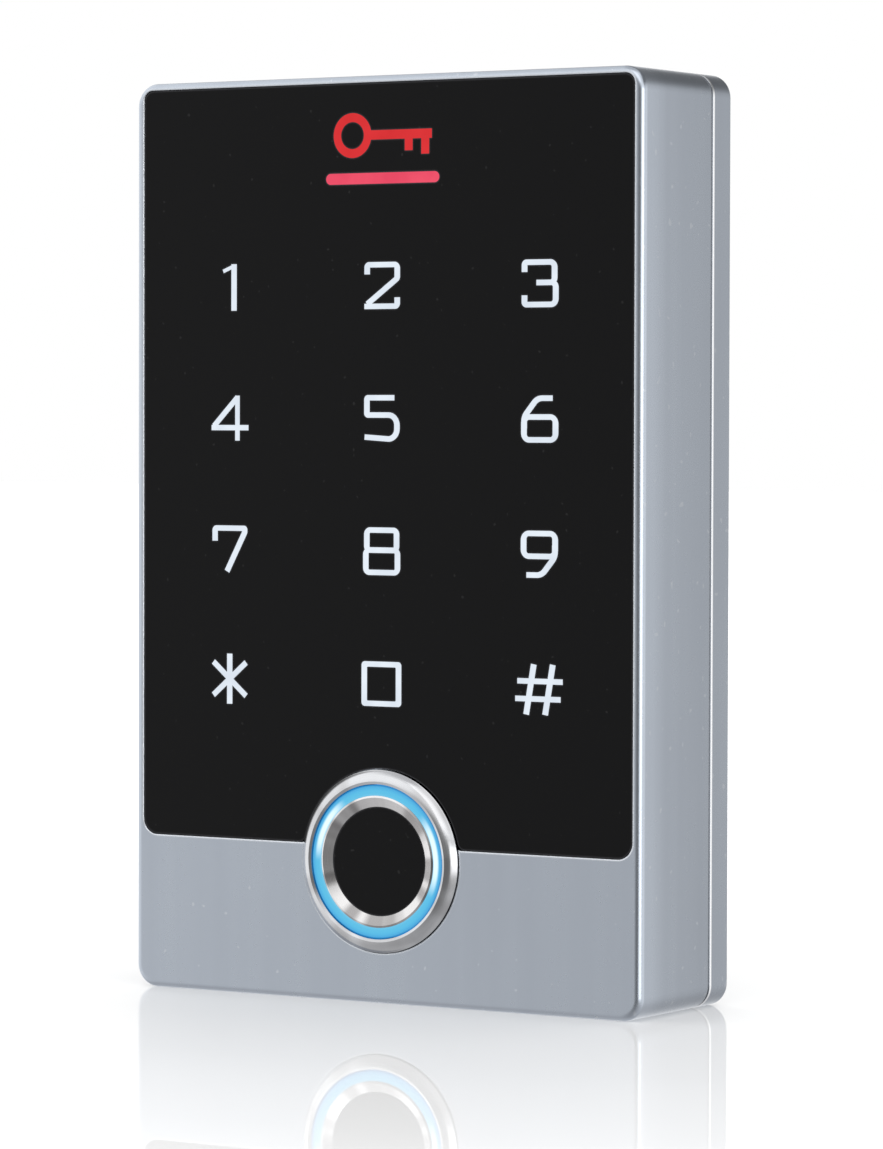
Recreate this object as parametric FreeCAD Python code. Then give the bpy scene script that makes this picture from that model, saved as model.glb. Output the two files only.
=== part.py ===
"""Keypad access reader: a cast front unit hung on a thin back cover.

Millimetres. X runs right as seen from the front, the front faces -Y and +Z is up. The origin is the
middle of the back face, on the wall. Writes one STEP file per subcomponent to parts/.
"""

import FreeCAD, Part
import math
import os

V = FreeCAD.Vector

# Casing
WIDTH, HEIGHT, DEPTH = 77.5, 120.0, 22.7
CORNER_R = 3.0
FRONT_ROUND = 0.9
SEAM_ROUND = 0.45
COVER_T = 4.9                    # depth of the back cover
Y_FRONT = -DEPTH
Y_SEAM = -COVER_T

# Touch panel and what lies behind it
PANEL_X, PANEL_TOP, PANEL_BOTTOM = 37.4, 59.0, -39.5
PANEL_R_TOP, PANEL_R_BOTTOM = 1.4, 2.2
PANEL_GAP = 0.1
NOTCH_GAP = 0.15                 # between the glass and the sensor's rim
PANEL_T, GLUE_T = 1.5, 0.2
Y_PANEL = Y_FRONT + 0.1
Y_GLUE = Y_PANEL + PANEL_T
Y_LEDGE = Y_GLUE + GLUE_T
Y_INSIDE = Y_FRONT + 3.5         # back of the front wall
WINDOW_X, WINDOW_Z = 31.2, (-25.0, 48.2)
PRINT_T = 0.15                   # depth of the legends in the glass
NOTCH_FILLET = 1.0

# Keys and light bar
KEY_PITCH_X, KEY_PITCH_Z, KEY_TOP_Z = 23.7, 17.15, 32.9
PEN_FLAT, PEN_UPRIGHT = 0.70, 0.85
BAR_W, BAR_H, BAR_Z = 17.3, 1.42, 46.72
EMBLEM_Z = 52.3

# Cavity: a deep part for the boards and a wider recess for the rear plate
DEEP_X, DEEP_Z = 35.55, (-56.8, 50.2)
WIDE_X, WIDE_Z = 37.05, (-58.3, 53.3)
Y_SHELF = Y_SEAM - 2.8
SEAL_T, REAR_T = 0.8, 1.7
HOOK_ROOM_X, HOOK_ROOM_TOP = 34.0, 58.0   # open space over the rear plate for the hooks

# Boards
BOARD_X = 34.6
KEYPAD_Z, MAIN_Z = (-26.5, 48.6), (-24.0, 48.6)
BOSS_H, BOARD_T, MAIN_T, SPACER_L = 1.2, 1.2, 1.4, 7.2
Y_KEYPAD = Y_INSIDE + BOSS_H
Y_KEYPAD_BACK = Y_KEYPAD + BOARD_T
Y_MAIN = Y_KEYPAD_BACK + SPACER_L
Y_MAIN_BACK = Y_MAIN + MAIN_T
BOARD_SCREWS = [(sx * 33.3, z) for sx in (-1, 1) for z in (-21.5, 11.0, 43.5)]
PLATE_SCREWS = [(sx * x, z) for sx in (-1, 1) for x, z in ((33.3, 51.1), (33.3, -30.0), (33.3, -54.6))]
SCREW_R = 1.0

# Fingerprint sensor
SENSOR_Z = -41.5
RIM_R, RIM_EDGE, RIM_PROUD, RIM_SEAT = 11.85, 0.35, 1.2, 1.1
LIGHT_R, STEEL_R, WINDOW_R = 9.95, 8.55, 7.1
BARREL_R, BARREL_END = 10.9, -15.6
NUT_AF, NUT_T = 25.0, 2.2

# Wall fixing, cable and hooks
PAIR_X, PAIR_Z = 60.0, 83.3      # round wall box and single gang wall box
WALL_HOLE_R, WALL_SLOT_L = 2.2, 9.0
CABLE_Z, CABLE_HOLE_R, GLAND_BORE_R = 10.0, 9.0, 2.7
TAMPER = (20.0, 30.0)
HOOK_X, HOOK_W, KEEPER_Z = 20.0, 8.0, 56.2
HOOK_Y, HOOK_T, HOOK_TOP = -9.0, 1.1, 57.3
BASE_T, COVER_WALL = 1.6, 2.2

# Lock
LOCK_Y, LOCK_R = -9.7, 1.5
LOCK_LEN = 3.2
POCKET_X, POCKET_TOP, POCKET_Y, POCKET_WALL = 7.0, -52.6, -14.3, 1.2
TAB_W, TAB_T = 9.0, 1.0
LIP_Y, LIP_END = (-13.3, -12.1), -56.2
BRACKET_TOP, RIVET_X, RIVET_Z, RIVET_R = -46.4, (-2.2, 2.2), -49.6, 1.2


def box(x0, x1, y0, y1, z0, z1):
    return Part.makeBox(x1 - x0, y1 - y0, z1 - z0, V(x0, y0, z0))


def rod(x, z, r, y0, y1):
    """Cylinder along Y."""
    return Part.makeCylinder(r, y1 - y0, V(x, y0, z), V(0, 1, 0))


def tube(x, z, r_out, r_in, y0, y1):
    return rod(x, z, r_out, y0, y1).cut(rod(x, z, r_in, y0, y1))


def rounded_outline(points, radii):
    """Closed XZ wire through the points, each corner rounded by its radius."""
    n, edges, ends = len(points), [], []
    for i, radius in enumerate(radii):
        p = V(points[i][0], 0, points[i][1])
        a = V(points[i - 1][0], 0, points[i - 1][1]) - p
        b = V(points[(i + 1) % n][0], 0, points[(i + 1) % n][1]) - p
        a.normalize()
        b.normalize()
        half = a.getAngle(b) / 2
        if radius < 1e-6 or abs(half - math.pi / 2) < 1e-6:
            ends.append((p, p, None))
            continue
        back = radius / math.tan(half)
        middle = a + b
        middle.normalize()
        ends.append((p + a * back, p + b * back, p + middle * (radius / math.sin(half) - radius)))
    for i in range(n):
        start, end, via = ends[i]
        if via is not None:
            edges.append(Part.Arc(start, via, end).toShape())
        following = ends[(i + 1) % n][0]
        if end.distanceToPoint(following) > 1e-6:
            edges.append(Part.makeLine(end, following))
    return Part.Wire(Part.__sortEdges__(edges))


def prism(points, radii, y0, y1):
    face = Part.Face(rounded_outline(points, radii))
    face.translate(V(0, y0, 0))
    return face.extrude(V(0, y1 - y0, 0))


def slab(x0, x1, z0, z1, r, y0, y1):
    """Plate with four rounded corners, lying in XZ."""
    return prism([(x0, z0), (x1, z0), (x1, z1), (x0, z1)], [r] * 4, y0, y1)


def turned(profile, z):
    """Solid of revolution about the Y axis line at height z, from (radius, y) points."""
    pts = [V(r, y, z) for r, y in profile]
    face = Part.Face(Part.makePolygon(pts + pts[:1]))
    return face.revolve(V(0, 0, z), V(0, 1, 0), 360)


def stroke(points, radii=0.3, widths=(PEN_FLAT, PEN_UPRIGHT)):
    """One pen stroke: a centreline with rounded corners and square ends, thinner where it runs level."""
    runs = []
    for (x0, z0), (x1, z1) in zip(points, points[1:]):
        length = math.hypot(x1 - x0, z1 - z0)
        dx, dz = (x1 - x0) / length, (z1 - z0) / length
        half = (widths[0] * dx * dx + widths[1] * dz * dz) / 2
        runs.append((-dz, dx, half))
    corners = len(points) - 2
    radii = [0] + (radii if isinstance(radii, list) else [radii] * corners) + [0]
    sides = {1: [], -1: []}
    for i, (x, z) in enumerate(points):
        (ax, az, ah), (bx, bz, bh) = runs[max(i - 1, 0)], runs[min(i, corners)]
        turn = ax * bz - az * bx
        for side in (1, -1):
            if abs(turn) < 1e-9:
                sides[side].append(((x + side * ah * ax, z + side * ah * az), 0))
                continue
            qx = side * (ah * bz - bh * az) / turn
            qz = side * (bh * ax - ah * bx) / turn
            r = radii[i] - side * math.copysign((ah + bh) / 2, turn)
            sides[side].append(((x + qx, z + qz), max(r, 0)))
    outline = sides[1] + sides[-1][::-1]
    return prism([p for p, _ in outline], [r for _, r in outline], 0, PRINT_T)


def pen_box(x, z, w, h, r):
    """Rounded rectangle drawn with the pen."""
    x0, x1, z0, z1 = x - w / 2, x + w / 2, z - h / 2, z + h / 2
    inner_r = max(r - PEN_UPRIGHT, 0.15)
    inner = slab(x0 + PEN_UPRIGHT, x1 - PEN_UPRIGHT, z0 + PEN_FLAT, z1 - PEN_FLAT, inner_r, 0, PRINT_T)
    return slab(x0, x1, z0, z1, r, 0, PRINT_T).cut(inner)


def glyph(name):
    """One legend, centred on the origin in XZ."""
    top, side = 2.68, 2.3
    six = [
        stroke([(1.9, top - 0.05), (-0.35, top - 0.05), (-side, 0.3), (-side, -1.2)], [1.5, 1.6]),
        pen_box(0, -1.2, 5.5, 3.6, 1.2),
    ]
    strokes = {
        "0": [pen_box(0, 0, 6.1, 5.8, 0.5)],
        "1": [
            stroke([(0.62, -3.05), (0.62, 3.05)]),
            stroke([(-1.1, 2.12), (0.6, 2.8)], widths=(0.48, 0.48)),
        ],
        "2": [
            stroke([(-side, 1.45), (-side, top), (side, top), (side, 0.9), (-side, -2.4)], [0.3, 0.45, 0.4]),
            stroke([(-2.72, -top), (side, -top), (side, -1.55)], 0.35),
        ],
        "3": [
            stroke([(-side, 1.45), (-side, top), (2.12, top), (2.12, 0.1), (-0.55, 0.1)], [0.3, 0.65, 0.6]),
            stroke([(-0.55, 0.1), (side, 0.1), (side, -top), (-side, -top), (-side, -1.5)], [0.6, 0.7, 0.3]),
        ],
        "4": [
            stroke([(1.18, -2.95), (1.18, 2.95)], widths=(PEN_FLAT, 0.72)),
            stroke([(1.2, 2.75), (-2.55, -1.05)], widths=(0.7, 0.8)),
            stroke([(-2.93, -1.25), (2.93, -1.25)]),
        ],
        "5": [
            stroke([(1.9, top), (-side, top), (-side, 0.45), (side, 0.45), (side, -2.72), (-2.65, -2.4)],
                   [0.2, 0.2, 1.3, 1.3])
        ],
        "6": six,
        "7": [
            stroke([(-2.35, 1.0), (-2.35, top), (2.35, top), (2.35, 2.15), (-0.45, -3.0)], [0.25, 0.15, 0.3])
        ],
        "8": [pen_box(0, 1.44, 5.4, 3.3, 0.9), pen_box(0, -1.28, 5.7, 3.6, 0.95)],
        "9": [s.rotated(V(0, 0, 0), V(0, 1, 0), 180) for s in six],
        "#": [
            stroke([(-1.87, -3.2), (-0.77, 3.2)]),
            stroke([(0.93, -3.2), (2.03, 3.2)]),
            stroke([(-3.2, 1.05), (3.5, 1.05)]),
            stroke([(-3.5, -1.2), (3.2, -1.2)]),
        ],
        "*": [
            stroke([(0, -3.3), (0, 3.3)]),
            stroke([(-2.6, -2.2), (2.6, 2.2)]),
            stroke([(-2.6, 2.2), (2.6, -2.2)]),
        ],
    }[name]
    mark = strokes[0]
    for other in strokes[1:]:
        mark = mark.fuse(other)
    return mark.removeSplitter()


def key_places():
    names = "123456789*0#"
    for i, name in enumerate(names):
        yield name, (i % 3 - 1) * KEY_PITCH_X, KEY_TOP_Z - (i // 3) * KEY_PITCH_Z


def legends():
    marks = []
    for name, x, z in key_places():
        mark = glyph(name)
        mark.translate(V(x, Y_PANEL, z))
        marks.append(mark)
    return marks


def emblem():
    """A key lying on its side: bow, shaft and two teeth."""
    z, y0, y1 = EMBLEM_Z, Y_PANEL, Y_PANEL + PRINT_T
    mark = tube(-4.6, z, 2.9, 1.75, y0, y1)
    for x0, x1, z0, z1 in ((-1.9, 7.5, -0.6, 0.6), (5.9, 7.1, -2.6, -0.4), (3.4, 4.6, -2.1, -0.4)):
        mark = mark.fuse(box(x0, x1, y0, y1, z + z0, z + z1))
    return mark.removeSplitter()


def panel_solid(grow, notch_r, y0, y1):
    """The panel's outline, grown all round, with its round notch for the sensor."""
    x, top, bottom = PANEL_X + grow, PANEL_TOP + grow, PANEL_BOTTOM - grow
    corners = [(-x, bottom), (x, bottom), (x, top), (-x, top)]
    solid = prism(corners, [PANEL_R_BOTTOM] * 2 + [PANEL_R_TOP] * 2, y0, y1)
    solid = solid.cut(rod(0, SENSOR_Z, notch_r, y0 - 1, y1 + 1))
    lips = [e for e in solid.Edges if upright(e) and abs(e.Vertexes[0].X) < 15 and e.Vertexes[0].Z < -35]
    return solid.makeFillet(NOTCH_FILLET, lips)


def upright(edge):
    """True if a straight edge runs along Y."""
    a, b = edge.Vertexes[0].Point, edge.Vertexes[-1].Point
    return abs(a.x - b.x) < 1e-6 and abs(a.z - b.z) < 1e-6 and abs(a.y - b.y) > 1e-3


def rim_edges(solid, y):
    """Edges of the solid's outer outline in the plane at y."""
    found = []
    for e in solid.Edges:
        bb = e.BoundBox
        if abs(bb.YMin - y) < 1e-6 and abs(bb.YMax - y) < 1e-6:
            far_x = max(abs(bb.XMin), abs(bb.XMax)) > WIDTH / 2 - CORNER_R - 0.01
            far_z = max(abs(bb.ZMin), abs(bb.ZMax)) > HEIGHT / 2 - CORNER_R - 0.01
            if far_x or far_z:
                found.append(e)
    return found


def touch_panel(marks, bar):
    panel = panel_solid(0, RIM_R + NOTCH_GAP, Y_PANEL, Y_GLUE)
    for mark in marks:
        panel = panel.cut(mark)
    return panel.cut(bar)


def light_bar(y1, grow=0.0):
    w, h = BAR_W / 2 + grow, BAR_H / 2 + grow
    return slab(-w, w, BAR_Z - h, BAR_Z + h, h - 0.001, Y_PANEL, y1)


def window(grow, y0, y1):
    x, z0, z1 = WINDOW_X + grow, WINDOW_Z[0] - grow, WINDOW_Z[1] + grow
    return slab(-x, x, z0, z1, 2.0, y0, y1)


def front_housing():
    w, h = WIDTH / 2, HEIGHT / 2
    body = slab(-w, w, -h, h, CORNER_R, Y_FRONT, Y_SEAM)
    body = body.makeFillet(FRONT_ROUND, rim_edges(body, Y_FRONT))
    body = body.makeFillet(SEAM_ROUND, rim_edges(body, Y_SEAM))
    deep = slab(-DEEP_X, DEEP_X, *DEEP_Z, 1.5, Y_INSIDE, Y_SHELF)
    for x, z in PLATE_SCREWS:
        deep = deep.cut(wall_boss(x, z, 2.4, Y_INSIDE, Y_SHELF))
    for x, z in BOARD_SCREWS:
        deep = deep.cut(wall_boss(x, z, 2.1, Y_INSIDE, Y_KEYPAD))
    wall = POCKET_WALL
    x, z = POCKET_X + wall, POCKET_TOP + wall
    deep = deep.cut(box(-x, x, POCKET_Y - wall, Y_SHELF, DEEP_Z[0], z))
    body = body.cut(deep)
    body = body.cut(slab(-WIDE_X, WIDE_X, *WIDE_Z, 1.5, Y_SHELF, Y_SEAM + 1))
    body = body.cut(box(-POCKET_X, POCKET_X, POCKET_Y, Y_SHELF, DEEP_Z[0], POCKET_TOP))
    body = body.cut(hook_room())
    body = body.cut(panel_solid(PANEL_GAP, RIM_R - 0.25, Y_FRONT - 1, Y_LEDGE))
    body = body.cut(window(0, Y_LEDGE - 1, Y_INSIDE + 0.1))
    body = body.cut(rod(0, SENSOR_Z, RIM_R + PANEL_GAP, Y_FRONT - 1, Y_FRONT + RIM_SEAT))
    body = body.cut(rod(0, SENSOR_Z, BARREL_R + 0.1, Y_FRONT, Y_INSIDE + 0.1))
    for x, z in BOARD_SCREWS:
        body = body.cut(rod(x, z, SCREW_R, Y_KEYPAD - 2.4, Y_KEYPAD))
    for x, z in PLATE_SCREWS:
        body = body.cut(rod(x, z, SCREW_R, Y_SHELF - 5.2, Y_SHELF))
    return body.cut(lock_thread())


def wall_boss(x, z, r, y0, y1):
    """Round boss joined to the nearest side wall, and to the bottom wall if it is near that."""
    x0, x1 = sorted((x, math.copysign(WIDTH / 2, x)))
    low = z - r if z - r > DEEP_Z[0] + 1 else -HEIGHT / 2
    return rod(x, z, r, y0, y1).fuse(box(x0, x1, y0, y1, low, z + r)).removeSplitter()


def hook_room():
    """Space for the hooks, less the two keepers that they catch behind."""
    room = box(-HOOK_ROOM_X, HOOK_ROOM_X, Y_INSIDE, Y_SEAM + 1, WIDE_Z[1], HOOK_ROOM_TOP)
    for x in (-HOOK_X, HOOK_X):
        room = room.cut(box(x - 7, x + 7, Y_SEAM - 1.5, Y_SEAM, KEEPER_Z, HOOK_ROOM_TOP))
    return room


def lock_thread():
    """Hole for the lock screw, up through the bottom wall, with a small running gap."""
    return Part.makeCylinder(LOCK_R + 0.04, 5, V(0, LOCK_Y, -HEIGHT / 2 - 1), V(0, 0, 1))


def lock_screw():
    low = -HEIGHT / 2
    screw = Part.makeCylinder(LOCK_R, LOCK_LEN, V(0, LOCK_Y, low), V(0, 0, 1))
    socket = Part.makePolygon(
        [V(0.87 * math.cos(a), LOCK_Y + 0.87 * math.sin(a), low)
         for a in (math.radians(60 * i) for i in range(7))]
    )
    screw = screw.cut(Part.Face(socket).extrude(V(0, 0, 1.6)))
    top = [e for e in screw.Edges if abs(e.BoundBox.ZMin - low - LOCK_LEN) < 1e-6 and len(e.Vertexes) == 1]
    return screw.makeChamfer(0.3, top)


def adhesive():
    frame = panel_solid(-0.4, RIM_R + 0.6, Y_GLUE, Y_LEDGE)
    return frame.cut(window(0.6, Y_GLUE - 1, Y_LEDGE + 1))


def diffuser(bar, leds):
    guide = window(-0.15, Y_GLUE, Y_KEYPAD).cut(bar)
    for led in leds:
        bb = led.BoundBox
        x0, x1, z0, z1 = bb.XMin - 0.2, bb.XMax + 0.2, bb.ZMin - 0.2, bb.ZMax + 0.2
        guide = guide.cut(box(x0, x1, bb.YMin - 0.2, Y_KEYPAD, z0, z1))
    return guide


def key_leds():
    leds = [chip(x, z, 1.6, 0.9, Y_KEYPAD - 0.6, Y_KEYPAD) for _, x, z in key_places()]
    leds += [chip(x, BAR_Z, 1.6, 0.9, Y_KEYPAD - 0.6, Y_KEYPAD) for x in (-5.0, 5.0)]
    return leds


def chip(x, z, w, h, y0, y1):
    return box(x - w / 2, x + w / 2, y0, y1, z - h / 2, z + h / 2)


def with_legs(x, z, w, y_board, height, away, per_side):
    """Flat square chip on a board face, with a row of legs on two sides. away is -1 or 1 along Y."""
    y_far = y_board + away * height
    body = chip(x, z, w, w, min(y_board + away * 0.1, y_far), max(y_board + away * 0.1, y_far))
    for i in range(per_side):
        zi = z + (i - (per_side - 1) / 2) * (w - 1.0) / (per_side - 1)
        y0, y1 = sorted((y_board, y_board + away * 0.35))
        for sx in (-1, 1):
            foot = chip(x + sx * (w / 2 + 0.4), zi, 1.0, 0.35, y0, y1)
            body = body.fuse(foot)
    return body.removeSplitter()


def board(z_range, y0, y1, holes):
    plate = slab(-BOARD_X, BOARD_X, *z_range, 1.0, y0, y1)
    for x, z, r in holes:
        plate = plate.cut(rod(x, z, r, y0, y1))
    return plate


def board_screw(x, z):
    """Long pan head screw through both boards into a boss."""
    shank = rod(x, z, SCREW_R, Y_KEYPAD - 2.2, Y_MAIN_BACK)
    head = rod(x, z, 1.85, Y_MAIN_BACK, Y_MAIN_BACK + 1.1)
    return shank.fuse(head).cut(chip(x, z, 1.9, 0.4, Y_MAIN_BACK + 0.6, Y_MAIN_BACK + 1.1)).removeSplitter()


def plate_screw(x, z):
    """Countersunk screw that holds the rear plate."""
    y_back = Y_SHELF + SEAL_T + REAR_T
    head = Part.makeCone(SCREW_R, 1.9, 0.9, V(x, y_back - 0.9, z), V(0, 1, 0))
    screw = rod(x, z, SCREW_R, Y_SHELF - 5.0, y_back - 0.9).fuse(head)
    return screw.cut(chip(x, z, 1.9, 0.4, y_back - 0.5, y_back)).removeSplitter()


def antenna_coil():
    """Four printed turns around the keys, on the back of the keypad board."""
    turns = []
    for i in range(4):
        x, z0, z1 = 31.0 - 0.8 * i, -25.3 + 0.8 * i, 46.9 - 0.8 * i
        outer = slab(-x, x, z0, z1, 2.0, Y_KEYPAD_BACK, Y_KEYPAD_BACK + 0.1)
        inner = slab(-x + 0.4, x - 0.4, z0 + 0.4, z1 - 0.4, 1.6, Y_KEYPAD_BACK, Y_KEYPAD_BACK + 0.1)
        turns.append(outer.cut(inner))
    return turns


def relay():
    y1 = Y_MAIN
    body = box(-26, -15.5, y1 - 5.6, y1 - 0.2, -20, -4.5)
    for x in (-24.5, -17.0):
        for z in (-18.2, -12.2, -6.3):
            body = body.fuse(chip(x, z, 0.6, 0.6, y1 - 0.2, y1))
    return body.removeSplitter()


def buzzer():
    can = rod(22, -12, 6.0, Y_MAIN - 4.5, Y_MAIN)
    return can.cut(rod(22, -12, 1.2, Y_MAIN - 4.5, Y_MAIN - 3.3))


def capacitor(x, z):
    base = chip(x, z, 6.6, 6.6, Y_MAIN - 0.8, Y_MAIN)
    return base.fuse(rod(x, z, 3.1, Y_MAIN - 5.8, Y_MAIN - 0.8)).removeSplitter()


def plug_stack(x, z, w, h, y0, y1, pins, pitch):
    """Plastic connector block with a row of pin holes in its front."""
    block = chip(x, z, w, h, y0, y1)
    for i in range(pins):
        xi = x + (i - (pins - 1) / 2) * pitch
        block = block.cut(chip(xi, z, 0.7, 0.7, y0, y0 + 1.5))
    return block


def rear_outline(grow, y0, y1):
    return slab(-WIDE_X - grow, WIDE_X + grow, WIDE_Z[0] - grow, WIDE_Z[1] + grow, 1.5 + grow, y0, y1)


def pocket_window(y0, y1):
    return box(-POCKET_X, POCKET_X, y0, y1, DEEP_Z[0], POCKET_TOP)


def rear_seal():
    y0, y1 = Y_SHELF, Y_SHELF + SEAL_T
    seal = rear_outline(-0.15, y0, y1)
    hole = slab(-DEEP_X + 0.2, DEEP_X - 0.2, DEEP_Z[0] + 0.2, DEEP_Z[1] - 0.2, 1.5, y0, y1)
    for x, z in PLATE_SCREWS:
        hole = hole.cut(wall_boss(x, z, 2.4, y0, y1))
    frame = box(-POCKET_X - POCKET_WALL, POCKET_X + POCKET_WALL, y0, y1, DEEP_Z[0], POCKET_TOP + POCKET_WALL)
    seal = seal.cut(hole.cut(frame)).cut(pocket_window(y0, y1))
    for x, z in PLATE_SCREWS:
        seal = seal.cut(rod(x, z, SCREW_R, y0, y1))
    return seal


def rear_plate():
    y0 = Y_SHELF + SEAL_T
    y1 = y0 + REAR_T
    plate = rear_outline(-0.15, y0, y1).cut(pocket_window(y0, y1))
    for x, z in PLATE_SCREWS:
        plate = plate.cut(plate_screw(x, z)).cut(rod(x, z, SCREW_R, y0, y1))
    plate = plate.cut(rod(0, CABLE_Z, 5.0, y0, y1))
    plate = plate.cut(rod(*TAMPER, 3.0, y0, y1))
    return plate


def gland():
    """Rubber inlet: a grooved bush with a bore for the cable."""
    y0, y1 = Y_SHELF + SEAL_T, Y_SHELF + SEAL_T + REAR_T
    r = GLAND_BORE_R
    profile = [(r, y0 - 1.0), (6.4, y0 - 1.0), (6.4, y0), (5.0, y0),
               (5.0, y1), (6.4, y1), (5.4, y1 + 1.6), (r, y1 + 1.6)]
    return turned(profile, CABLE_Z)


def sensor_bezel():
    """Domed ring on a barrel. The dome is low at the rim and highest beside the light ring."""
    edge, top, seat = Y_FRONT - RIM_EDGE, Y_FRONT - RIM_PROUD, Y_FRONT + RIM_SEAT - 0.4
    line = [
        (LIGHT_R + 0.45, top), (LIGHT_R + 0.1, top + 0.15), (LIGHT_R + 0.1, BARREL_END),
        (BARREL_R, BARREL_END), (BARREL_R, seat), (RIM_R, seat), (RIM_R, edge + 0.1), (RIM_R - 0.1, edge),
    ]
    line = [V(r, y, SENSOR_Z) for r, y in line]
    dome = Part.Arc(line[-1], V(LIGHT_R + 1.15, top + 0.27, SENSOR_Z), line[0]).toShape()
    face = Part.Face(Part.Wire(Part.makePolygon(line).Edges + [dome]))
    return face.revolve(V(0, 0, SENSOR_Z), V(0, 1, 0), 360)


def sensor_nut():
    y0 = Y_INSIDE
    r = NUT_AF / 2 / math.cos(math.pi / 6)
    corners = [math.radians(60 * i) for i in range(6)]
    ring = [(r * math.cos(a), SENSOR_Z + r * math.sin(a)) for a in corners]
    return prism(ring, [0.8] * 6, y0, y0 + NUT_T).cut(rod(0, SENSOR_Z, BARREL_R, y0, y0 + NUT_T))


SENSOR_BOARD_Y = -19.6


def sensor_light_ring(leds):
    y0 = Y_FRONT - 0.95
    ring = turned([(STEEL_R, y0 + 0.12), (STEEL_R + 0.12, y0), (LIGHT_R - 0.15, y0), (LIGHT_R, y0 + 0.15),
                   (LIGHT_R, SENSOR_BOARD_Y), (STEEL_R, SENSOR_BOARD_Y)], SENSOR_Z)
    for led in leds:
        ring = ring.cut(led)
    return ring


def sensor_leds():
    leds = []
    for i in range(6):
        led = box(-0.8, 0.8, SENSOR_BOARD_Y - 0.6, SENSOR_BOARD_Y, 9.4 - 0.45, 9.4 + 0.45)
        led.rotate(V(0, 0, 0), V(0, 1, 0), 60 * i + 30)
        led.translate(V(0, 0, SENSOR_Z))
        leds.append(led)
    return leds


def sensor_steel_ring():
    """Ring with a funnel face that leads down to the window."""
    profile = [(WINDOW_R, Y_FRONT - 0.4), (STEEL_R - 0.25, Y_FRONT - 1.0), (STEEL_R, Y_FRONT - 0.9),
               (STEEL_R, SENSOR_BOARD_Y), (WINDOW_R, SENSOR_BOARD_Y)]
    return turned(profile, SENSOR_Z)


def sensor_cap():
    y0, y1 = SENSOR_BOARD_Y + 1.0, BARREL_END
    cap = rod(0, SENSOR_Z, LIGHT_R, y0, y1)
    return cap.cut(rod(0, SENSOR_Z, LIGHT_R - 0.9, y0, y1 - 1.0))


def ribbon():
    """Flat lead that bends from the sensor's plug up to its socket on the main board."""
    plug_top, plug_y = SENSOR_Z + 2.2, BARREL_END + 2.6
    path = [(plug_y, plug_top), (plug_y, -34.0), (-13.4, -30.5), (-13.4, -22.4)]
    t = 0.5
    left = [V(-3, y - t / 2, z) for y, z in path]
    right = [V(-3, y + t / 2, z) for y, z in reversed(path)]
    face = Part.Face(Part.makePolygon(left + right + left[:1]))
    return face.extrude(V(6, 0, 0))


def back_cover():
    w, h = WIDTH / 2, HEIGHT / 2
    tray = slab(-w, w, -h, h, CORNER_R, Y_SEAM, 0)
    tray = tray.makeFillet(SEAM_ROUND, rim_edges(tray, Y_SEAM))
    tray = tray.makeFillet(0.3, rim_edges(tray, 0))
    inner = COVER_WALL
    tray = tray.cut(slab(-w + inner, w - inner, -h + inner, h - inner, 1.5, Y_SEAM - 1, -BASE_T))
    for sx in (-1, 1):
        tray = tray.fuse(hook(sx * HOOK_X))
    for x in RIVET_X:
        tray = tray.cut(rod(x, RIVET_Z, RIVET_R, -BASE_T, 0))
    for sx in (-1, 1):
        x, half, r = sx * PAIR_X / 2, WALL_SLOT_L / 2, WALL_HOLE_R
        tray = tray.cut(slab(x - half, x + half, -r, r, r - 0.001, -BASE_T, 0))
        tray = tray.cut(rod(0, sx * PAIR_Z / 2, WALL_HOLE_R, -BASE_T, 0))
    return tray.cut(rod(0, CABLE_Z, CABLE_HOLE_R, -BASE_T, 0)).removeSplitter()


def hook(x):
    """Finger that reaches into the unit and stands up behind its keeper."""
    x0, x1 = x - HOOK_W / 2, x + HOOK_W / 2
    z1 = KEEPER_Z - 0.4
    leg = box(x0, x1, HOOK_Y, -BASE_T, z1 - HOOK_T, z1)
    tip = box(x0, x1, HOOK_Y, HOOK_Y + HOOK_T, z1 - HOOK_T, HOOK_TOP)
    foot = box(x0, x1, -BASE_T - 1.4, -BASE_T, z1 - HOOK_T - 1.4, z1 + 1.2)
    return leg.fuse(tip).fuse(foot)


def lock_bracket():
    """Bent steel strip riveted to the back cover. Its lip blocks the raised lock screw."""
    x, z1 = TAB_W / 2, POCKET_TOP - 0.6
    z0 = z1 - TAB_T
    leg = box(-x, x, LIP_Y[0], -BASE_T, z0, z1)
    lip = box(-x, x, LIP_Y[0], LIP_Y[1], LIP_END, z1)
    foot = box(-x, x, -BASE_T - TAB_T, -BASE_T, z0, BRACKET_TOP)
    bracket = leg.fuse(lip).fuse(foot)
    for rivet_x in RIVET_X:
        bracket = bracket.cut(rod(rivet_x, RIVET_Z, RIVET_R, -BASE_T - TAB_T, -BASE_T))
    return bracket.removeSplitter()


def rivet(x):
    """Flat rivet: low head on the bracket, tail spread flush in the back cover's rear face."""
    y_head = -BASE_T - TAB_T
    head = Part.makeCone(1.9, 2.3, 0.8, V(x, y_head - 0.8, RIVET_Z), V(0, 1, 0))
    return head.fuse(rod(x, RIVET_Z, RIVET_R, y_head, -0.1)).removeSplitter()


def cable_grommet():
    """Rubber edge snapped over the rim of the cable hole."""
    r, y = CABLE_HOLE_R, -BASE_T
    profile = [(r - 1.2, y - 0.8), (r + 1.2, y - 0.8), (r + 1.2, y), (r, y), (r, -0.05), (r - 1.2, -0.05)]
    return turned(profile, CABLE_Z)


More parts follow.
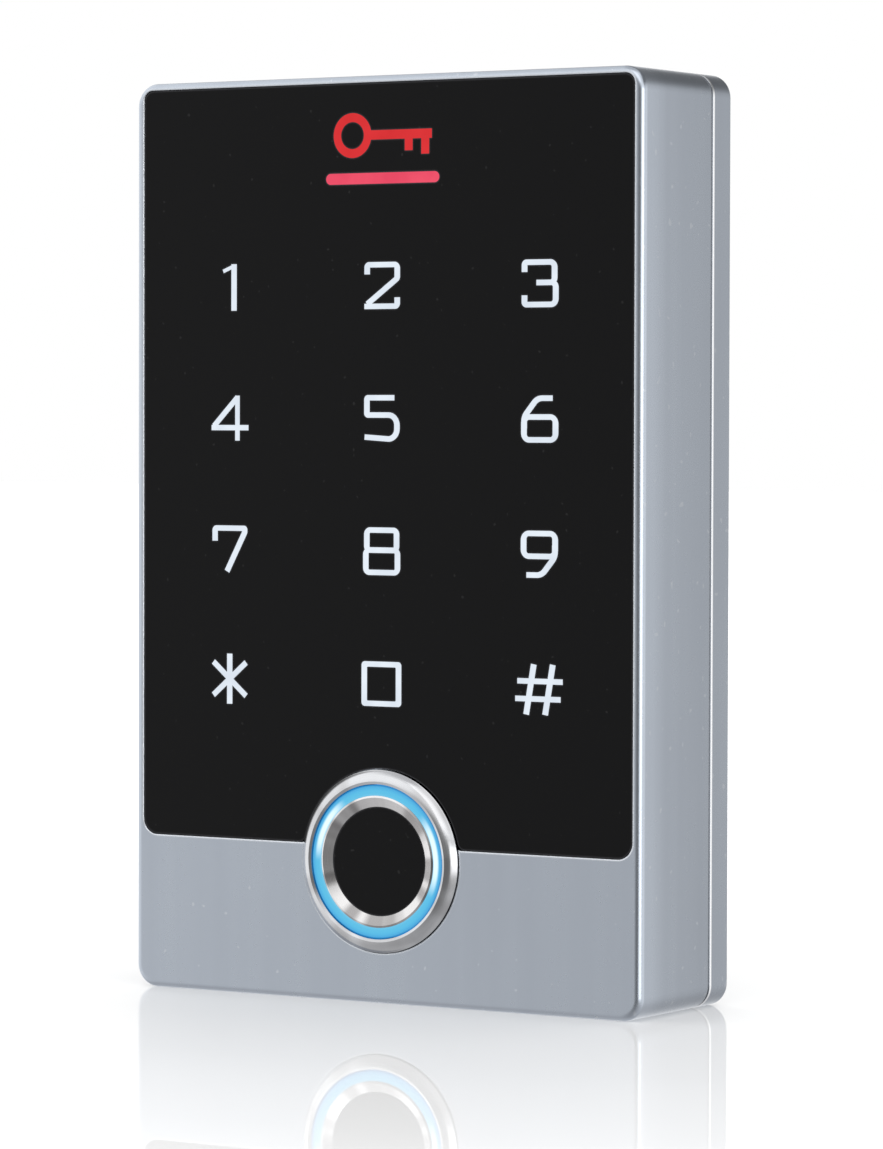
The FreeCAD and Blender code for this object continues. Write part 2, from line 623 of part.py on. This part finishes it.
def build():
    marks, key = legends(), emblem()
    bar, leds, ring_leds = light_bar(Y_KEYPAD - 0.8), key_leds(), sensor_leds()
    keypad_holes = [(x, z, SCREW_R) for x, z in BOARD_SCREWS]
    return {
        "back_cover": [back_cover()],
        "lock_bracket": [lock_bracket()],
        "bracket_rivets": [rivet(x) for x in RIVET_X],
        "cable_grommet": [cable_grommet()],
        "front_housing": [front_housing()],
        "touch_panel": [touch_panel(marks + [key], bar)],
        "panel_adhesive": [adhesive()],
        "key_legends": marks,
        "status_light_bar": [bar],
        "panel_emblem": [key],
        "light_diffuser": [diffuser(bar, leds)],
        "keypad_board": [board(KEYPAD_Z, Y_KEYPAD, Y_KEYPAD_BACK, keypad_holes)],
        "key_leds": leds,
        "touch_controller": [with_legs(0, 24, 7.0, Y_KEYPAD_BACK, 0.95, 1, 8)],
        "antenna_coil": antenna_coil(),
        "board_spacers": [tube(x, z, 2.1, SCREW_R, Y_KEYPAD_BACK, Y_MAIN) for x, z in BOARD_SCREWS],
        "main_board": [board(MAIN_Z, Y_MAIN, Y_MAIN_BACK, keypad_holes + [(0, CABLE_Z, 7.0)])],
        "board_screws": [board_screw(x, z) for x, z in BOARD_SCREWS],
        "board_connector": [plug_stack(0, 36, 20, 4.6, Y_KEYPAD_BACK, Y_MAIN, 7, 2.54)],
        "processor_chip": [with_legs(-18, 20, 10.0, Y_MAIN, 1.5, -1, 12)],
        "lock_relay": [relay()],
        "buzzer": [buzzer()],
        "capacitors": [capacitor(x, 41) for x in (17.0, 25.0)],
        "cable_connector": [plug_stack(18, 12, 16, 6.0, Y_MAIN - 6.0, Y_MAIN, 5, 2.5)],
        "tamper_photocell": [rod(*TAMPER, 2.5, Y_MAIN_BACK, Y_MAIN_BACK + 1.1)],
        "sensor_bezel": [sensor_bezel()],
        "sensor_gasket": [
            tube(0, SENSOR_Z, RIM_R - 0.15, BARREL_R, Y_FRONT + RIM_SEAT - 0.4, Y_FRONT + RIM_SEAT)
        ],
        "sensor_nut": [sensor_nut()],
        "sensor_light_ring": [sensor_light_ring(ring_leds)],
        "sensor_steel_ring": [sensor_steel_ring()],
        "sensor_window": [rod(0, SENSOR_Z, WINDOW_R, Y_FRONT - 0.35, Y_FRONT + 1.1)],
        "sensor_chip": [chip(0, SENSOR_Z, 8.0, 8.0, Y_FRONT + 1.1, SENSOR_BOARD_Y)],
        "sensor_board": [rod(0, SENSOR_Z, LIGHT_R, SENSOR_BOARD_Y, SENSOR_BOARD_Y + 1.0)],
        "sensor_leds": ring_leds,
        "sensor_cap": [sensor_cap()],
        "sensor_plug": [chip(0, SENSOR_Z, 8.0, 4.4, BARREL_END, BARREL_END + 3.0)],
        "sensor_ribbon": [ribbon()],
        "sensor_socket": [chip(0, -20.4, 8.0, 4.0, -14.6, Y_MAIN)],
        "rear_seal": [rear_seal()],
        "rear_plate": [rear_plate()],
        "rear_plate_screws": [plate_screw(x, z) for x, z in PLATE_SCREWS],
        "cable_gland": [gland()],
        "tamper_window": [rod(*TAMPER, 3.0, Y_SHELF + SEAL_T, Y_SHELF + SEAL_T + REAR_T)],
        "lock_screw": [lock_screw()],
    }


os.makedirs("parts", exist_ok=True)
for node, solids in build().items():
    shape = solids[0] if len(solids) == 1 else Part.makeCompound(solids)
    print(node, len(shape.Solids), round(shape.Volume, 1), shape.isValid())
    shape.exportStep(f"parts/{node}.step")
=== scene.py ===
"""Looks of the keypad access reader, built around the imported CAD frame. Metres, +Z up, front towards -Y."""

import math

import bpy
from mathutils import Matrix, Vector


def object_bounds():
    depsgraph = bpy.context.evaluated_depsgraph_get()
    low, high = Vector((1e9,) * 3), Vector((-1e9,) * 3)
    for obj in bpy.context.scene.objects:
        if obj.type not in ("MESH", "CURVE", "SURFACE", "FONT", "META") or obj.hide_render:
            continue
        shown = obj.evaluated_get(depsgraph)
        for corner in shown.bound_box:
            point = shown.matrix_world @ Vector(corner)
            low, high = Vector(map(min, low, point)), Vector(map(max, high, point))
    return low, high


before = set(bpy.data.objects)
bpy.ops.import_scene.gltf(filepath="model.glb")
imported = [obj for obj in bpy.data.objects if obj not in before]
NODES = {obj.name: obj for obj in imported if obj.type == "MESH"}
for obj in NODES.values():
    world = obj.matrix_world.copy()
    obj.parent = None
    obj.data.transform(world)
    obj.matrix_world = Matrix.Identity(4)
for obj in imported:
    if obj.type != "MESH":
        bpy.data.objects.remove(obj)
CAD_BOX = [list(corner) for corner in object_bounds()]
FLOOR_Z = CAD_BOX[0][2]
FRONT_Y = -0.0227  # front face of the housing
SEAM_Y = -0.0049  # where the front unit meets the back cover
WALL_Y = 0.0
SENSOR = Vector((0, FRONT_Y, -0.0415))  # where the sensor's axis leaves the front face
RING_INNER, RING_OUTER = 0.00855, 0.00995  # radii of the lit ring

NOISE_LOW, NOISE_HIGH = 0.3, 0.7  # nearly all of a noise lies between these
BEVEL_SAMPLES = 6
MIX_FACTOR, MIX_A, MIX_B, MIX_RESULT = 0, 6, 7, 2  # sockets of a Mix node that belong to its colour version


# ---------------------------------------------------------------- node tree helpers
def opaque(colour):
    """RGBA of a colour, or of a grey given as one number."""
    return (*colour, 1) if isinstance(colour, tuple) else (colour, colour, colour, 1)


def scaled(colour, factor):
    return tuple(min(1.0, part * factor) for part in colour)


class Tree:
    """A material's or the world's node tree, and short ways to add nodes to it."""

    def __init__(self, owner, shader):
        owner.use_nodes = True
        self.owner, self.graph = owner, owner.node_tree
        self.shader = self.graph.nodes[shader]

    def feed(self, node, key, value):
        """Links a socket into a node's input, or sets the input to a number, a vector or a colour."""
        socket = node.inputs[key]
        if isinstance(value, bpy.types.NodeSocket):
            self.graph.links.new(value, socket)
        else:
            socket.default_value = opaque(value) if socket.type == "RGBA" else value

    def fill(self, node, inputs):
        """Feeds inputs given by name, with an underscore for each space."""
        for key, value in inputs.items():
            self.feed(node, key.replace("_", " "), value)

    def add(self, kind, **inputs):
        node = self.graph.nodes.new(kind)
        self.fill(node, inputs)
        return node

    def set(self, **inputs):
        self.fill(self.shader, inputs)
        return self

    def math(self, operation, a, b=0.0):
        node = self.add("ShaderNodeMath")
        node.operation = operation
        self.feed(node, 0, a)
        self.feed(node, 1, b)
        return node.outputs["Value"]

    def plus(self, a, b):
        return self.math("ADD", a, b)

    def minus(self, a, b):
        return self.math("SUBTRACT", a, b)

    def times(self, a, b):
        return self.math("MULTIPLY", a, b)

    def average(self, a, b):
        return self.times(self.plus(a, b), 0.5)

    def size(self, a):
        return self.math("ABSOLUTE", a)

    def vector(self, operation, a, b=(0, 0, 0)):
        node = self.add("ShaderNodeVectorMath")
        node.operation = operation
        self.feed(node, 0, a)
        self.feed(node, 1, b)
        return node.outputs["Value" if operation in ("LENGTH", "DOT_PRODUCT") else "Vector"]

    def along_x(self, value):
        return self.add("ShaderNodeCombineXYZ", X=value).outputs["Vector"]

    def where(self):
        """Place on the object."""
        return self.add("ShaderNodeTexCoord").outputs["Object"]

    def part(self, vector, axis):
        return self.add("ShaderNodeSeparateXYZ", Vector=vector).outputs[axis]

    def noise(self, scale, detail=3.0, rough=0.5, at=None):
        place = self.where() if at is None else at
        node = self.add("ShaderNodeTexNoise", Vector=place, Scale=scale, Detail=detail, Roughness=rough)
        return node.outputs["Fac"]

    def stretched(self, factors):
        """Place on the object, for a noise that is drawn out where a factor is small."""
        return self.vector("MULTIPLY", self.where(), factors)

    def ramp(self, factor, stops):
        node = self.add("ShaderNodeValToRGB", Fac=factor)
        elements = node.color_ramp.elements
        while len(elements) < len(stops):
            elements.new(0.5)
        for element, (position, colour) in zip(elements, stops):
            element.position = position
            element.color = opaque(colour)
        return node.outputs["Color"]

    def two_tone(self, noise, dark, light):
        return self.ramp(noise, [(NOISE_LOW, dark), (NOISE_HIGH, light)])

    def span(self, value, low, high, to_low, to_high, smooth=False):
        """Maps low..high to to_low..to_high and holds the value beyond both ends."""
        node = self.add(
            "ShaderNodeMapRange", Value=value, From_Min=low, From_Max=high, To_Min=to_low, To_Max=to_high)
        node.interpolation_type = "SMOOTHSTEP" if smooth else "LINEAR"
        return node.outputs["Result"]

    def varied(self, noise, low, high):
        return self.span(noise, NOISE_LOW, NOISE_HIGH, low, high)

    def mix(self, factor, a, b, blend="MIX"):
        """Colour a where the factor is 0, and b where it is 1."""
        node = self.add("ShaderNodeMix")
        node.data_type, node.blend_type = "RGBA", blend
        for key, value in ((MIX_FACTOR, factor), (MIX_A, a), (MIX_B, b)):
            self.feed(node, key, value)
        return node.outputs[MIX_RESULT]

    def bump(self, height, strength, distance, over=None):
        """Relief on the surface, on top of the direction `over` where one is given."""
        node = self.add("ShaderNodeBump", Height=height, Strength=strength, Distance=distance)
        if over is not None:
            self.feed(node, "Normal", over)
        return self.set(Normal=node.outputs["Normal"])

    def rounded(self, radius):
        """Surface direction as if sharp edges were rounded by this radius."""
        node = self.add("ShaderNodeBevel", Radius=radius)
        node.samples = BEVEL_SAMPLES
        return node.outputs["Normal"]

    def edges(self, radius):
        """About 1 within this radius of sharp edges, 0 on the flats."""
        normal = self.add("ShaderNodeNewGeometry").outputs["Normal"]
        agreement = self.vector("DOT_PRODUCT", self.rounded(radius), normal)
        return self.span(agreement, 0.995, 0.9, 0.0, 1.0)


def surface(name):
    return Tree(bpy.data.materials.new(name), "Principled BSDF")


def put(name, tree):
    """Gives the CAD node this one material."""
    obj = NODES[name]
    obj.data.materials.clear()
    obj.data.materials.append(tree.owner)


# ---------------------------------------------------------------- materials
def cast_metal(name, tint):
    """Satin plated casting: vertical polishing bands, orange peel, pin specks, edges lightened as a painted
    highlight, painted shade in the seam with a painted highlight beside it, and painted shade along the
    walls.
    """
    t = surface(name)
    depth = t.part(t.where(), "Y")
    cloud = t.noise(25, 3, 0.55)
    bands = t.noise(260, 3, 0.6, at=t.stretched((1, 1, 0.02)))
    grain = t.noise(1600, 2, 0.6)
    speck = t.span(t.noise(1100, 0), 0.80, 0.815, 0.0, 1.0)
    shade = t.average(cloud, bands)
    base = t.two_tone(shade, scaled((0.53, 0.581, 0.657), tint), scaled((0.585, 0.638, 0.715), tint))
    # painted shade: the front face is darkened, and the walls are lightest just behind the front edge and
    # darken from there towards the rear, standing in for how the studio light falls along them
    painted_wall_shade = t.ramp(t.span(depth, FRONT_Y, WALL_Y, 0.0, 1.0), [
        (0.004, 0.80), (0.03, 1.0), (0.10, 0.98), (0.26, 0.83), (0.52, 0.775), (0.78, 0.735), (1.0, 0.75)])
    base = t.mix(1.0, base, painted_wall_shade, "MULTIPLY")
    base = t.mix(t.times(speck, 0.22), base, (0.78, 0.80, 0.82))
    # painted highlight: edges within half a millimetre are lightened, standing in for the light their
    # rounding catches
    base = t.mix(t.times(t.edges(0.0005), 0.8), base, (0.86, 0.89, 0.93))
    # the seam: a dark line of painted shade where the gap between the front unit and the cover lies in
    # shadow, and beside it a line of painted highlight on the cover's rounded edge
    seam_shade_end, seam_highlight_start, seam_highlight_end = (0.00016, 0.00022), (0.00018, 0.00026), (0.0005, 0.0006)
    past_seam = t.minus(depth, SEAM_Y)
    painted_seam_highlight = t.times(t.span(past_seam, *seam_highlight_start, 0.0, 1.0), t.span(past_seam, *seam_highlight_end, 1.0, 0.0))
    base = t.mix(painted_seam_highlight, base, (0.97, 0.98, 1.0))
    base = t.mix(t.span(t.size(past_seam), *seam_shade_end, 0.9, 0.0), base, (0.06, 0.065, 0.075))
    rough = t.plus(t.varied(grain, 0.225, 0.255), t.varied(shade, 0.0, 0.04))
    t.set(Base_Color=base, Metallic=1.0, Roughness=rough)
    height = t.plus(t.times(grain, 0.3), t.plus(bands, speck))
    return t.bump(height, 0.04, 0.00002, over=t.rounded(0.0003))


def black_glass(name, smudge=0.04):
    """Back-painted black glass with faint finger grease, dust, and edges lightened as a painted highlight."""
    t = surface(name)
    grease = t.noise(45, 4, 0.6)
    dust = t.span(t.noise(1500, 0), 0.80, 0.84, 0.0, 1.0)
    base = t.mix(t.times(dust, 0.04), (0.0034, 0.0034, 0.0037), (0.25, 0.25, 0.25))
    # painted highlight: the edges are lightened, standing in for the light their bevel catches
    base = t.mix(t.times(t.edges(0.0004), 0.6), base, (0.05, 0.05, 0.055))
    return t.set(Base_Color=base, Roughness=t.span(grease, 0.35, 0.75, 0.07, 0.07 + smudge), IOR=1.2)


def lit(name, dim, bright):
    """Backlit print or light pipe: its light is a little uneven."""
    t = surface(name)
    glow = t.two_tone(t.noise(300, 2), dim, bright)
    t.set(Base_Color=(0.01, 0.01, 0.01), Roughness=0.25, IOR=1.2)
    return t.set(Emission_Color=glow, Emission_Strength=1.0)


def plastic(name, colour, rough=0.45, grain=900, depth=0.00003):
    """Moulded plastic or rubber with a fine texture and slight shade changes."""
    t = surface(name)
    texture = t.noise(grain, 3)
    base = t.two_tone(t.noise(60, 3), scaled(colour, 0.88), scaled(colour, 1.12))
    t.set(Base_Color=base, Roughness=t.varied(texture, rough - 0.06, rough + 0.06))
    return t.bump(texture, 0.25, depth)


def plain_metal(name, colour, rough=0.3, stretch=(1, 1, 1)):
    """Small metal part with drawn or turned grain."""
    t = surface(name)
    streak = t.noise(1200, 3, at=t.stretched(stretch))
    base = t.two_tone(streak, scaled(colour, 0.8), colour)
    t.set(Base_Color=base, Metallic=1.0, Roughness=t.varied(streak, rough - 0.05, rough + 0.1))
    return t.bump(streak, 0.15, 0.00003)


def out_from_sensor(t):
    """Vector from the sensor's axis to a place, square to the axis."""
    return t.vector("MULTIPLY", t.vector("SUBTRACT", t.where(), tuple(SENSOR)), (1, 0, 1))


def turned_metal(name, colour, rough, stretch, painted_spokes):
    """Ring turned on a lathe: its circles stretch the highlights, and some sectors are darkened as a painted
    reflection of dark surroundings.
    """
    t = surface(name)
    out = out_from_sensor(t)
    groove = t.noise(1.0, 4, 0.7, at=t.vector("MULTIPLY", t.along_x(t.vector("LENGTH", out)), (9000, 0, 0)))
    base = t.two_tone(t.average(groove, t.noise(120, 2)), scaled(colour, 0.84), colour)
    # painted reflection: random sectors are darkened, standing in for the dark spokes that the turned surface
    # reflects
    sector = t.noise(2.4, 1, at=t.vector("NORMALIZE", out))
    base = t.mix(t.span(sector, 0.38, 0.58, painted_spokes, 0.0, smooth=True), base, (0.25, 0.24, 0.24))
    around = t.vector("NORMALIZE", t.vector("CROSS_PRODUCT", out, (0, 1, 0)))
    t.set(Base_Color=base, Metallic=1.0, Roughness=t.varied(groove, rough - 0.03, rough + 0.05))
    t.set(Anisotropic=stretch, Tangent=around)
    return t.bump(groove, 0.3, 0.00001)


def ring_light():
    """Milky ring lit from behind: cyan, streaked round the ring, with two painted highlights washed out to
    white.
    """
    t = surface("ring_light")
    out = out_from_sensor(t)
    radius = t.vector("LENGTH", out)
    across = t.span(radius, RING_INNER, RING_OUTER, 0.0, 1.0)
    streak = t.noise(1.0, 3, 0.6, at=t.vector("MULTIPLY", t.along_x(radius), (4200, 0, 0)))
    streaked = t.plus(across, t.times(t.minus(streak, 0.5), 0.4))
    body = t.ramp(streaked, [(0.0, (0.12, 0.45, 0.66)), (0.2, (0.07, 0.42, 0.64)), (0.5, (0.055, 0.40, 0.64)),
                             (0.8, (0.03, 0.32, 0.60)), (1.0, (0.01, 0.16, 0.44))])

    def painted_spot(degrees, edge):
        """Painted highlight: bright at this angle up from +X, dark where the cosine of the angle to it falls
        to `edge`.
        """
        a = math.radians(degrees)
        facing = t.vector("DOT_PRODUCT", t.vector("NORMALIZE", out), (math.cos(a), 0, math.sin(a)))
        return t.span(facing, edge, 1.0, 0.0, 1.0, smooth=True)

    # painted highlights: two white spots on the inner part of the ring stand in for reflections of the studio
    # lights
    painted_spots = t.math("MAXIMUM", painted_spot(152, 0.86), painted_spot(8, 0.80))
    inner = t.span(t.size(t.minus(across, 0.32)), 0.12, 0.42, 1.0, 0.0, smooth=True)
    glow = t.mix(t.times(painted_spots, inner), body, (0.80, 0.95, 1.0))
    return t.set(Base_Color=(0.02, 0.08, 0.12), Roughness=0.25, Emission_Color=glow, Emission_Strength=1.0)


def clear_window():
    t = surface("clear_window")
    t.set(Base_Color=(0.9, 0.95, 0.97), Roughness=0.08, Transmission_Weight=1.0, IOR=1.49)
    return t.bump(t.noise(400, 2), 0.1, 0.00002)


# the outer pieces
put("front_housing", cast_metal("cast_metal", 1.0))
put("back_cover", cast_metal("cover_metal", 1.02))
put("touch_panel", black_glass("panel_glass"))
put("key_legends", lit("legend_light", (0.70, 0.77, 0.86), (0.80, 0.87, 0.95)))
put("status_light_bar", lit("bar_light", (0.78, 0.050, 0.110), (0.86, 0.072, 0.135)))
# the emblem is printed ink; its glow is painted light that gives it its red under any lighting
put("panel_emblem", lit("emblem_painted_glow", (0.66, 0.013, 0.017), (0.73, 0.019, 0.024)))
put("sensor_bezel", turned_metal("bezel_metal", (0.66, 0.67, 0.69), 0.15, 0.65, 0.35))
put("sensor_steel_ring", turned_metal("steel_ring", (0.76, 0.75, 0.75), 0.17, 0.5, 0.8))
put("sensor_light_ring", ring_light())
put("sensor_window", black_glass("sensor_glass", 0.12))

# the pieces inside and behind
TURNED = (1, 12, 1)
RUBBER = plastic("black_rubber", (0.018, 0.018, 0.019), 0.6, 1500)
BOARD = plastic("board_lacquer", (0.012, 0.10, 0.035), 0.3, 500, 0.00002)
DARK = plastic("dark_moulding", (0.022, 0.022, 0.024), 0.5)
CREAM = plastic("cream_moulding", (0.72, 0.68, 0.58), 0.4)
STEEL = plain_metal("screw_steel", (0.60, 0.60, 0.60), 0.28, TURNED)
BRASS = plain_metal("plated_brass", (0.72, 0.60, 0.36), 0.3, TURNED)
for material, names in (
    (RUBBER, ("cable_grommet", "panel_adhesive", "sensor_gasket", "rear_seal", "cable_gland")),
    (BOARD, ("keypad_board", "main_board")),
    (DARK, ("touch_controller", "processor_chip", "buzzer", "board_connector", "sensor_cap", "sensor_chip")),
    (CREAM, ("key_leds", "sensor_leds", "cable_connector", "sensor_plug", "sensor_socket")),
    (STEEL, ("lock_bracket", "bracket_rivets", "board_screws", "rear_plate_screws", "lock_screw")),
    (BRASS, ("board_spacers", "sensor_nut")),
    (plastic("milky_guide", (0.80, 0.80, 0.78), 0.35), ("light_diffuser",)),
    (plastic("blue_board", (0.01, 0.05, 0.16), 0.3, 500), ("sensor_board",)),
    (plastic("relay_case", (0.02, 0.05, 0.20), 0.35), ("lock_relay",)),
    (plastic("ribbon_film", (0.62, 0.60, 0.56)), ("sensor_ribbon",)),
    (plastic("rear_moulding", (0.028, 0.028, 0.030), 0.5, 700, 0.00006), ("rear_plate",)),
    (plastic("photocell_face", (0.55, 0.42, 0.22), 0.4), ("tamper_photocell",)),
    (plain_metal("copper_track", (0.75, 0.38, 0.18)), ("antenna_coil",)),
    (plain_metal("can_metal", (0.70, 0.70, 0.72), 0.3), ("capacitors",)),
    (clear_window(), ("tamper_window",)),
):
    for name in names:
        put(name, material)


# ---------------------------------------------------------------- floor, lights and camera
FLOOR_HALF = 4
POLISH_REACH = 0.3  # the floor's polish ends this far from the object's foot


def polished_floor():
    """White studio floor. It is polished round the object's foot and turns matt further out."""
    t = surface("studio_floor")
    t.set(Base_Color=t.two_tone(t.noise(6), 0.90, 0.94), Roughness=0.6)
    t.set(Emission_Color=(1.0, 1.0, 1.0), Emission_Strength=0.2)
    (x0, y0, _), (x1, y1, _) = CAD_BOX
    middle, half = ((x0 + x1) / 2, (y0 + y1) / 2, 0), ((x1 - x0) / 2, (y1 - y0) / 2, 0)
    beyond = t.vector("SUBTRACT", t.vector("ABSOLUTE", t.vector("SUBTRACT", t.where(), middle)), half)
    away = t.vector("LENGTH", t.vector("MULTIPLY", t.vector("MAXIMUM", beyond, (0, 0, 0)), (1, 1, 0)))
    polish = t.ramp(t.span(away, 0.0, POLISH_REACH, 0.0, 1.0), [
        (0.0, 0.46), (0.17, 0.43), (0.33, 0.37), (0.55, 0.22), (1.0, 0.0)])
    mirror = t.add("ShaderNodeBsdfAnisotropic", Roughness=0.0)
    both = t.add("ShaderNodeMixShader")
    for key, source in enumerate((polish, t.shader.outputs["BSDF"], mirror.outputs["BSDF"])):
        t.feed(both, key, source)
    t.feed(t.graph.nodes["Material Output"], "Surface", both.outputs["Shader"])
    return t.owner


mesh = bpy.data.meshes.new("floor")
mesh.from_pydata([(x * FLOOR_HALF, y * FLOOR_HALF, FLOOR_Z) for x, y in ((-1, -1), (1, -1), (1, 1), (-1, 1))],
                 [], [(0, 1, 2, 3)])
mesh.materials.append(polished_floor())
floor = bpy.data.objects.new("floor", mesh)
bpy.context.collection.objects.link(floor)
floor.visible_glossy = False


def heading(degrees):
    """Level unit vector, 0 in front of the object and 90 on its right as seen from there."""
    a = math.radians(degrees)
    return math.sin(a), -math.cos(a), 0.0


def studio_world():
    """White tent. Glossy surfaces see soft boxes: a bank on the left, a front right strip and back lights."""
    w = Tree(bpy.data.worlds.new("studio"), "Background")
    ray = w.add("ShaderNodeTexCoord").outputs["Generated"]
    level = w.vector("NORMALIZE", w.vector("MULTIPLY", ray, (1, 1, 0)))
    height = w.part(ray, "Z")

    def bank(degrees, outer, inner, strength):
        """Light round a heading: full up to `inner` degrees off it, none from `outer` degrees."""
        facing = w.vector("DOT_PRODUCT", level, heading(degrees))
        dark, full = math.cos(math.radians(outer)), math.cos(math.radians(inner))
        return w.span(facing, dark, full, 0.0, strength, smooth=True)

    strip = w.times(bank(58, 28, 10, 2.1), w.span(w.size(height), 0.08, 0.28, 1.0, 0.0, smooth=True))
    fronts = w.plus(bank(-95, 95, 30, 1.0), strip)
    backs = w.plus(bank(150, 110, 25, 0.33), bank(92, 75, 20, 0.5))
    around = w.plus(fronts, w.plus(backs, 0.24))
    above = w.plus(bank(-45, 120, 60, 1.15), 0.18)
    grey = w.mix(w.span(height, 0.12, 0.5, 0.0, 1.0, smooth=True), around, above)
    grey = w.mix(w.span(height, 0.75, 0.95, 0.0, 1.0, smooth=True), grey, (0.72, 0.72, 0.73))
    grey = w.mix(w.span(height, -0.75, -0.15, 0.8, 0.0, smooth=True), grey, (0.54, 0.54, 0.55))
    path = w.add("ShaderNodeLightPath").outputs
    soft_gloss = w.times(path["Is Glossy Ray"], w.minus(1.0, path["Is Singular Ray"]))
    white = w.mix(path["Is Diffuse Ray"], (1.0, 1.0, 1.0), (1.25, 1.25, 1.25))
    w.set(Color=w.mix(soft_gloss, white, grey))
    bpy.context.scene.world = w.owner


def area_light(name, place, side, power):
    """Square light that looks at the object's middle."""
    data = bpy.data.lights.new(name, "AREA")
    data.shape, data.size = "SQUARE", side
    data.energy = power
    light = bpy.data.objects.new(name, data)
    bpy.context.collection.objects.link(light)
    light.location = place
    light.rotation_euler = (-Vector(place)).to_track_quat("-Z", "Y").to_euler()


def camera_from(yaw, pitch, roll, distance, aim, lens):
    """Camera that looks at a point on the front face from the given turn and tilt."""
    ahead = Vector((-math.sin(yaw) * math.cos(pitch), math.cos(yaw) * math.cos(pitch), math.sin(pitch)))
    right = Vector((math.cos(yaw), math.sin(yaw), 0))
    up = right.cross(ahead)
    right, up = right * math.cos(roll) + up * math.sin(roll), up * math.cos(roll) - right * math.sin(roll)
    data = bpy.data.cameras.new("camera")
    data.lens, data.sensor_width, data.clip_start = lens, 36.0, 0.01
    camera = bpy.data.objects.new("camera", data)
    bpy.context.collection.objects.link(camera)
    turn = Matrix((right, up, -ahead)).transposed().to_4x4()
    camera.matrix_world = Matrix.Translation(aim - ahead * distance) @ turn
    bpy.context.scene.camera = camera


studio_world()
area_light("key", place=(0.6, -0.6, 0.85), side=1.3, power=4)
camera_from(
    yaw=math.radians(31.9), pitch=math.radians(-1.797), roll=math.radians(0.14), distance=0.6475,
    aim=Vector((0.00918, FRONT_Y, -0.00421)), lens=158.28,
)
bpy.context.scene.view_settings.view_transform = "Standard"
